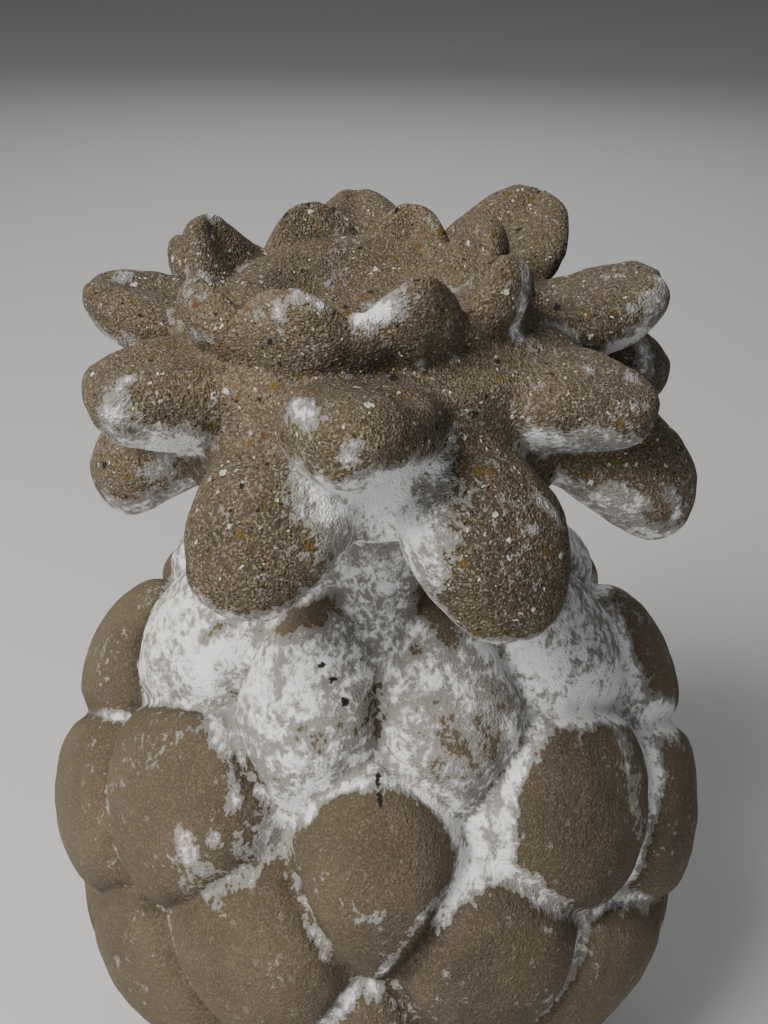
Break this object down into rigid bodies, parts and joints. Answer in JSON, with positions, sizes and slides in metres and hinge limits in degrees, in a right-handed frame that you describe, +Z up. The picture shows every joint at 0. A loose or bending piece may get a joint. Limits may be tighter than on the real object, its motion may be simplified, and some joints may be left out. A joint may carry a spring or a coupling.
{
  "type": "pineapple finial",
  "caption": "Cast concrete pineapple finial: globe of rounded scales, leafy crown around a shallow dish, low round foot, worn white paint.",
  "frame": {"origin": "middle of the flat underside of the foot", "axes": "+Z up through the crown, -Y to the front of the piece as pictured"},
  "size_m": [0.2338, 0.2346, 0.3343],
  "materials": {
    "painted_concrete": "bare sandy concrete with worn white paint"
  },
  "bodies": {
    "root": {"pineapple_finial": "painted_concrete"}
  },
  "joints": []
}
